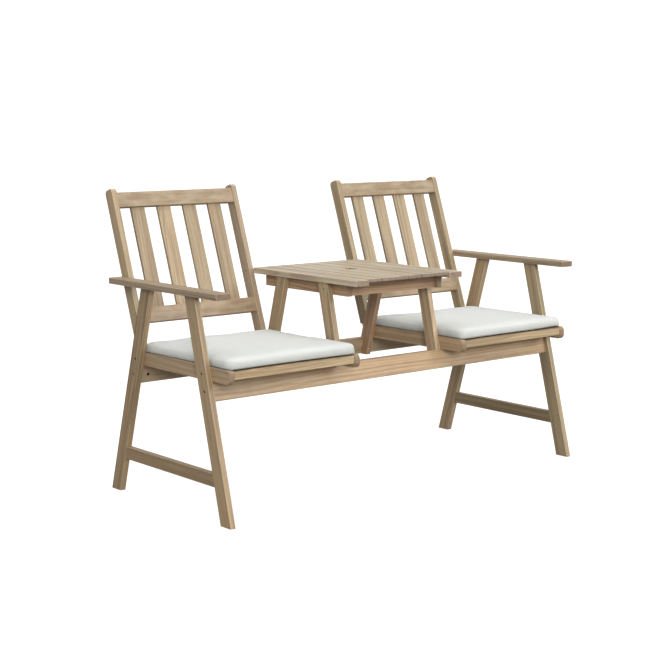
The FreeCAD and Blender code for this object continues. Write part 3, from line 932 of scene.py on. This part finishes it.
class BENCH_OT_finish_backs(bpy.types.Operator):
    """Finish the posts, rails and slats of the two backs"""

    bl_idname = "bench.finish_backs"
    bl_label = "Finish Backs"

    def execute(self, context):
        """Posts and slats lean back, rails run across."""
        finish_boards(on_both_sides("back_outer_post", "back_inner_post", *BACK_SLATS), BACK_LEAN)
        finish_boards(on_both_sides("back_bottom_rail", "back_top_rail"), ACROSS)
        return {"FINISHED"}


class BENCH_OT_finish_table(bpy.types.Operator):
    """Finish the boards, battens, aprons and legs of the table"""

    bl_idname = "bench.finish_table"
    bl_label = "Finish Table"

    def execute(self, context):
        """Boards and battens run to the back, aprons across, legs along their lean."""
        finish_boards(INNER_BOARDS, LEVEL_LEAN)
        finish_boards(on_both_sides("table_outer_board", "table_batten"), LEVEL_LEAN)
        finish_boards(("table_front_apron", "table_rear_apron"), ACROSS)
        finish_boards(on_both_sides("table_front_leg"), TABLE_FRONT_LEG_LEAN)
        finish_boards(on_both_sides("table_rear_leg"), TABLE_REAR_LEG_LEAN)
        return {"FINISHED"}


def zinc_material(name, plating):
    """Zinc plate: mottled grey metal with fine scratches, darkened by painted shade where it turns
    away from the eye.
    """
    material, wiring, shader = new_material(name, {"Metallic": 1.0})
    place = wiring.add("ShaderNodeTexCoord").outputs["Object"]
    mottle = wiring.clouds(place, MOTTLE)
    darker = tuple(PATCH_SHADE * part for part in plating[:3]) + (1,)
    colour = wiring.mix(wiring.strength(mottle, MOTTLE), tuple(plating), darker)
    # Painted shade: the rim of a head goes near black where it turns from the eye
    rim = wiring.add("ShaderNodeLayerWeight", Blend=0.5).outputs["Facing"]
    colour = wiring.mix(wiring.ramp(rim, RIM_START, RIM_FULL), colour, RIM_PAINTED_SHADE)
    wiring.feed(shader["Base Color"], colour)
    wiring.feed(shader["Roughness"], wiring.math("MULTIPLY_ADD", mottle, *ZINC_ROUGHNESS))
    scratch = wiring.clouds(place, SCRATCHES)
    wiring.feed(shader["Normal"], wiring.relief(scratch, SCRATCH_DEPTH, SCRATCH_STRENGTH))
    return material


class BENCH_OT_finish_hardware(bpy.types.Operator):
    """Finish the bolts and barrel nuts in zinc plated steel"""

    bl_idname = "bench.finish_hardware"
    bl_label = "Finish Hardware"

    def execute(self, context):
        """Very dark plating on the leg bolts and nuts, dark zinc darkened further as painted shade
        of their counterbores; brighter on the small bolts.
        """
        looks = context.scene.bench_steel
        dark_and_shaded = zinc_material("dull_zinc_plate", looks.dark_plating_and_shade)
        for name in ("leg_bolts", "barrel_nuts"):
            paint(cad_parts[name], dark_and_shaded)
        bright = zinc_material("zinc_plate", looks.plating)
        for name in ("table_leg_bolts", "back_post_bolts"):
            paint(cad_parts[name], bright)
        return {"FINISHED"}


def woven_height(wiring, place, thread_pitch):
    """Height of a plain weave, whose threads pass over and under each other."""
    parts = wiring.add("ShaderNodeSeparateXYZ", Vector=place).outputs
    turns = math.pi / thread_pitch
    warp = wiring.math("SINE", wiring.math("MULTIPLY", parts["X"], turns))
    weft = wiring.math("SINE", wiring.math("MULTIPLY", parts["Y"], turns))
    over = wiring.math("MULTIPLY", warp, weft)
    crossing = wiring.ramp(over, -CROSSING_WIDTH, CROSSING_WIDTH)
    opposite = wiring.math("SUBTRACT", 1.0, crossing)
    warp_height = wiring.math("MULTIPLY", wiring.math("ABSOLUTE", warp), crossing)
    weft_height = wiring.math("MULTIPLY", wiring.math("ABSOLUTE", weft), opposite)
    return wiring.math("ADD", warp_height, weft_height)


def cloth_material():
    """Plain woven cover with slubs, seams darkened by painted shade, and painted shade on its
    bottom.
    """
    looks = bpy.context.scene.bench_cloth
    material, wiring, shader = new_material("cushion_cloth_weave", CLOTH_SHADER)
    place = wiring.add("ShaderNodeUVMap", {"uv_map": "weave"}).outputs[0]
    height = woven_height(wiring, place, looks.thread_pitch)
    slubs = wiring.math("ADD", wiring.clouds(place, SLUBS), wiring.clouds(place, SLUBS_ACROSS))

    # Painted shade: the low gaps of the weave take the darker colour, as shade between the threads
    lit = wiring.ramp(height, GAP_HEIGHT, THREAD_HEIGHT)
    colour = wiring.mix(lit, tuple(looks.between_threads), tuple(looks.thread))
    tone = wiring.math("MULTIPLY_ADD", slubs, *CLOTH_TONE)
    fading = wiring.math("MULTIPLY", wiring.clouds(place, FADING), FADING_SHARE)
    tone = wiring.math("ADD", tone, fading)
    # Painted shade: the cloth darkens along the seams, in their dips
    seam = wiring.math("MULTIPLY", wiring.attribute("seam"), SEAM_SHADE)
    tone = wiring.math("SUBTRACT", tone, seam)
    toned = wiring.vector("SCALE", colour, scale=tone)
    # Painted shade: the pressed-flat bottom turns near black, as shade under the cushion
    shaded_under = wiring.math("POWER", wiring.attribute("underside"), UNDERSIDE_SHADE_EDGE)
    wiring.feed(shader["Base Color"], wiring.mix(shaded_under, toned, tuple(looks.underside)))

    wiring.feed(shader["Roughness"], wiring.math("MULTIPLY_ADD", slubs, *CLOTH_ROUGHNESS))
    weave = wiring.math("ADD", height, wiring.math("MULTIPLY", slubs, SLUB_HEIGHT))
    wiring.feed(shader["Normal"], wiring.relief(weave, WEAVE_DEPTH, WEAVE_STRENGTH))
    return material


def wall_distance(place, low, high, looks):
    """How far a point is inside the upright wall of a cushion, whose corners are rounded."""
    half = (high - low) / 2
    off = place - (low + high) / 2
    radius = looks.front_corner if off.y < 0 else looks.rear_corner
    x = abs(off.x) - (half.x - radius)
    y = abs(off.y) - (half.y - radius)
    outside = math.hypot(max(x, 0), max(y, 0))
    return radius - outside - min(max(x, y), 0)


def round_edges(cover, wanted, radius, segments):
    """Round those edges of a cover for which wanted(one end, other end) is true."""
    use_only(cover)
    bpy.ops.object.mode_set(mode="EDIT")
    bpy.ops.mesh.select_mode(type="EDGE")
    bpy.ops.mesh.select_all(action="DESELECT")
    bpy.ops.object.mode_set(mode="OBJECT")
    for edge in cover.data.edges:
        one, other = (cover.data.vertices[index].co for index in edge.vertices)
        edge.select = wanted(one, other)
    bpy.ops.object.mode_set(mode="EDIT")
    bpy.ops.mesh.bevel(offset=radius, segments=segments, profile=0.5, affect="EDGES")
    bpy.ops.object.mode_set(mode="OBJECT")


def cut_cover(name, low, high, looks):
    """The cover before it is filled: a flat box with rounded corners and edges."""
    deselect_all()
    middle = (low + high) / 2
    bpy.ops.mesh.primitive_cube_add(size=1, location=middle, scale=high - low)
    cover = bpy.context.object
    cover.name = name
    bpy.ops.object.transform_apply(location=True, rotation=True, scale=True)

    def upright(one, other):
        return (one.z - middle.z) * (other.z - middle.z) < 0

    def front_corner(one, other):
        return upright(one, other) and one.y < middle.y

    def rear_corner(one, other):
        return upright(one, other) and one.y > high.y - looks.rear_corner / 2

    def upper_edge(one, other):
        return min(one.z, other.z) > middle.z

    def lower_edge(one, other):
        return max(one.z, other.z) < middle.z

    round_edges(cover, front_corner, looks.front_corner, CORNER_SEGMENTS)
    round_edges(cover, rear_corner, looks.rear_corner, CORNER_SEGMENTS)
    round_edges(cover, upper_edge, looks.upper_edge, UPPER_EDGE_SEGMENTS)
    round_edges(cover, lower_edge, looks.lower_edge, LOWER_EDGE_SEGMENTS)
    bpy.ops.object.mode_set(mode="EDIT")
    bpy.ops.mesh.select_all(action="SELECT")
    bpy.ops.mesh.normals_make_consistent(inside=False)
    bpy.ops.object.mode_set(mode="OBJECT")
    return cover


def even_mesh(cover, size):
    """Remesh a cover into even faces."""
    use_only(cover)
    remesh = cover.modifiers.new("even", "REMESH")
    remesh.mode = "VOXEL"
    remesh.voxel_size = size
    remesh.use_smooth_shade = True
    bpy.ops.object.modifier_apply(modifier="even")


def crown_cover(cover, low, high, looks):
    """Raise the top, set it in, and pull the sides in between the corners."""
    half = (high - low) / 2
    middle = (low + high) / 2
    for vertex in cover.data.vertices:
        place = vertex.co
        inside = wall_distance(place, low, high, looks)
        height = min(max((place.z - low.z) / (high.z - low.z), 0), 1)
        share = min(max(inside / looks.crown_reach, 0), 1)
        x = (place.x - middle.x) / half.x
        y = (place.y - middle.y) / half.y
        place.z += looks.crown * share * (2 - share) * height
        place.z += looks.corner_rise * (x * y) ** CORNER_POWER * height
        place.x -= looks.side_draw * x**3 * (1 - y**2) + looks.side_slope * x * height
        place.y -= looks.side_draw * y**3 * (1 - x**2) + looks.side_slope * y * height


def fill_cover(cover, looks):
    """Swell a cover with its filling, and keep each point within the swell limit."""
    before = [vertex.co.copy() for vertex in cover.data.vertices]
    use_only(cover)
    cloth = cover.modifiers.new("filling", "CLOTH")
    for name, value in COVER_CLOTH.items():
        setattr(cloth.settings, name, value)
    cloth.settings.uniform_pressure_force = looks.pressure
    cloth.settings.effector_weights.gravity = 0
    cloth.point_cache.frame_start = 1
    cloth.point_cache.frame_end = SETTLE_FRAMES
    for step in range(1, SETTLE_FRAMES + 1):
        bpy.context.scene.frame_set(step)
    bpy.ops.object.modifier_apply(modifier="filling")
    bpy.context.scene.frame_set(1)
    for vertex, start in zip(cover.data.vertices, before):
        push = vertex.co - start
        if push.length > 0:
            kept = looks.swell_limit * math.tanh(push.length / looks.swell_limit)
            vertex.co = start + push * (kept / push.length)


def rise_at(place, low, high, spots):
    """Total rise at a point from spots on a cushion, each fading out over its reach."""
    total = 0.0
    for x_share, y_share, rise, reach in spots:
        x = place.x - low.x - x_share * (high.x - low.x)
        y = place.y - low.y - y_share * (high.y - low.y)
        total += rise * math.exp(-(x**2 + y**2) / reach**2)
    return total


def rest_and_rumple(cover, low, high, side, looks):
    """Press the bottom flat and mark it for the painted shade, and give the top slack waves and
    spots.
    """
    seat = low.z + looks.sink
    underside = cover.data.attributes.new("underside", "FLOAT", "POINT")
    for index, vertex in enumerate(cover.data.vertices):
        place = vertex.co
        height = max((place.z - seat) / (high.z - seat), 0)
        slack = 0.0
        for per_metre, slice_height, rise in RUMPLES:
            in_noise = Vector((place.x * per_metre, place.y * per_metre, slice_height))
            slack += rise * noise.noise(in_noise)
        place.z = max(place.z + height * slack, seat)
        underside.data[index].value = 1.0 if height == 0 else 0.0
        place.z += min(height, 1) * rise_at(place, low, high, SLACK_SPOTS[side])
        place.z += rise_at(place, low, high, LIFTED_SPOTS[side])


def refine(cover):
    """Subdivide a cover once, so that seams can be pressed into it."""
    use_only(cover)
    finer = cover.modifiers.new("finer", "SUBSURF")
    finer.levels = 1
    finer.render_levels = 1
    bpy.ops.object.modifier_apply(modifier="finer")


def sew_seams(cover, low, high, looks):
    """Press the seams in along the upper and lower edges, with small puckers beside them."""
    seam = cover.data.attributes.new("seam", "FLOAT", "POINT")
    normals = [vertex.normal.copy() for vertex in cover.data.vertices]
    for index, vertex in enumerate(cover.data.vertices):
        place = vertex.co
        inside = wall_distance(place, low, high, looks)
        from_top = math.hypot(inside, high.z - looks.upper_edge - place.z)
        from_bottom = math.hypot(inside, place.z - low.z - looks.sink - looks.lower_edge)
        near = min(from_top, from_bottom)
        press = math.exp(-((near / looks.seam_width) ** 2))
        beside = math.exp(-((near / (PUCKER_REACH * looks.seam_width)) ** 2))
        pucker = noise.noise(place * PUCKERS_PER_METRE) * PUCKER_HEIGHT * beside
        seam.data[index].value = press
        vertex.co += normals[index] * (pucker - looks.seam_depth * press)


def lay_weave(cover):
    """Lay the cloth on each face of a cushion, in metres."""
    use_only(cover)
    cover.data.uv_layers.new(name="weave")
    bpy.ops.object.mode_set(mode="EDIT")
    bpy.ops.mesh.select_all(action="SELECT")
    bpy.ops.uv.cube_project(cube_size=1.0, correct_aspect=False, scale_to_bounds=False)
    bpy.ops.object.mode_set(mode="OBJECT")
    bpy.ops.object.shade_smooth()


def make_cushion(side, box_low, box_high, looks):
    """One cushion in the box of its solid: cut, filled, laid on its seat and sewn."""
    more = Vector((looks.allowance, looks.allowance, 0))
    low = box_low - more - Vector((0, 0, looks.sink))
    high = Vector((box_high.x, box_high.y, box_low.z + looks.side_height)) + more
    cover = cut_cover(side + "_seat_cushion", low, high, looks)
    even_mesh(cover, looks.mesh_size)
    crown_cover(cover, low, high, looks)
    fill_cover(cover, looks)
    rest_and_rumple(cover, low, high, side, looks)
    refine(cover)
    sew_seams(cover, low, high, looks)
    lay_weave(cover)
    return cover


class BENCH_OT_make_cushions(bpy.types.Operator):
    """Cut, fill and sew the two seat cushions"""

    bl_idname = "bench.make_cushions"
    bl_label = "Make Cushions"

    def execute(self, context):
        """Each cushion stands for its solid and rides with it."""
        cloth = cloth_material()
        for side in SIDES:
            node = side + "_cushion"
            box_low, box_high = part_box(node)
            cover = make_cushion(side, box_low, box_high, context.scene.bench_cushion)
            paint(cover, cloth)
            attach(cover, node)
            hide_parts(node)
        return {"FINISHED"}


def floor_material():
    """Pale floor, which is white to the eye but gives back less light."""
    material, wiring, shader = new_material("pale_floor", FLOOR_SHADER)
    seen = wiring.add("ShaderNodeLightPath").outputs["Is Camera Ray"]
    wiring.feed(shader["Base Color"], wiring.mix(seen, FLOOR_FOR_LIGHT, FLOOR_FOR_EYE))
    wiring.feed(shader["Emission Color"], wiring.mix(seen, NO_GLOW, FLOOR_GLOW))
    return material


def studio_world(sky_strength):
    """Even light from all around, and a white backdrop to the eye."""
    world = bpy.data.worlds.new("studio")
    world.use_nodes = True
    wiring = Wiring(world.node_tree)
    sky = world.node_tree.nodes["Background"].inputs
    wiring.feed(sky["Color"], SKY_COLOUR)
    seen = wiring.add("ShaderNodeLightPath").outputs["Is Camera Ray"]
    wiring.feed(sky["Strength"], wiring.ramp(seen, 0.0, 1.0, sky_strength, BACKDROP_GLOW))
    return world


def far_light(name, comes_from, width_degrees, strength):
    """A wide soft light from far away, in one direction."""
    lamp = bpy.data.lights.new(name, "SUN")
    lamp.angle = math.radians(width_degrees)
    lamp.energy = strength
    holder = bpy.data.objects.new(name, lamp)
    bpy.context.scene.collection.objects.link(holder)
    holder.location = Vector(comes_from) * LIGHT_DISTANCE
    holder.rotation_euler = Vector(comes_from).to_track_quat("Z", "Y").to_euler()


class BENCH_OT_build_stage(bpy.types.Operator):
    """Lay the pale floor and set the soft light and the camera"""

    bl_idname = "bench.build_stage"
    bl_label = "Build Stage"

    def execute(self, context):
        """Floor, world, lights and camera, in that order."""
        looks = context.scene.bench_stage
        deselect_all()
        bpy.ops.mesh.primitive_circle_add(
            vertices=FLOOR_SIDES,
            radius=looks.floor_radius,
            fill_type="NGON",
            location=(0, 0, -FLOOR_DROP),
        )
        floor = bpy.context.object
        floor.name = "studio_floor"
        paint(floor, floor_material())
        context.scene.world = studio_world(looks.sky)
        for name, (comes_from, width_degrees) in LIGHTS.items():
            far_light(name, comes_from, width_degrees, getattr(looks, name))

        lens = bpy.data.cameras.new("photo_view")
        lens.sensor_width = SENSOR_WIDTH
        lens.lens = looks.lens
        lens.clip_end = SIGHT_REACH
        camera = bpy.data.objects.new("photo_view", lens)
        context.scene.collection.objects.link(camera)
        camera.location = CAMERA_PLACE
        camera.rotation_euler = (math.radians(CAMERA_TILT), 0, math.radians(CAMERA_TURN))
        context.scene.camera = camera
        context.scene.view_settings.view_transform = "Standard"
        return {"FINISHED"}


SETTINGS = {
    "bench_timber": BenchTimber,
    "bench_cloth": BenchCloth,
    "bench_cushion": BenchCushion,
    "bench_steel": BenchSteel,
    "bench_stage": BenchStage,
}

STEPS = (
    BENCH_OT_finish_long_rails,
    BENCH_OT_finish_seat_legs,
    BENCH_OT_finish_armrests,
    BENCH_OT_finish_seat_frames,
    BENCH_OT_finish_backs,
    BENCH_OT_finish_table,
    BENCH_OT_finish_hardware,
    BENCH_OT_make_cushions,
    BENCH_OT_build_stage,
)


class BENCH_PT_panel(bpy.types.Panel):
    """Lists the steps that dress the bench"""

    bl_label = "Companion Seat Bench"
    bl_idname = "BENCH_PT_panel"
    bl_space_type = "VIEW_3D"
    bl_region_type = "UI"
    bl_category = "Bench"

    def draw(self, context):
        """One button for each step, above the sizes and colours."""
        for step in STEPS:
            self.layout.operator(step.bl_idname)
        for group_name, kind in SETTINGS.items():
            box = self.layout.box()
            for name in kind.__annotations__:
                box.prop(getattr(context.scene, group_name), name)


def register():
    """Register the settings, the operators and the panel."""
    for name, kind in SETTINGS.items():
        bpy.utils.register_class(kind)
        setattr(bpy.types.Scene, name, bpy.props.PointerProperty(type=kind))
    for kind in STEPS + (BENCH_PT_panel,):
        bpy.utils.register_class(kind)


def unregister():
    """Take the panel, the operators and the settings away again."""
    for kind in reversed(STEPS + (BENCH_PT_panel,)):
        bpy.utils.unregister_class(kind)
    for name, kind in SETTINGS.items():
        delattr(bpy.types.Scene, name)
        bpy.utils.unregister_class(kind)


def main():
    """Dress the bench step by step."""
    register()
    bpy.ops.bench.finish_long_rails()
    bpy.ops.bench.finish_seat_legs()
    bpy.ops.bench.finish_armrests()
    bpy.ops.bench.finish_seat_frames()
    bpy.ops.bench.finish_backs()
    bpy.ops.bench.finish_table()
    bpy.ops.bench.finish_hardware()
    bpy.ops.bench.make_cushions()
    bpy.ops.bench.build_stage()


if __name__ == "__main__":
    main()
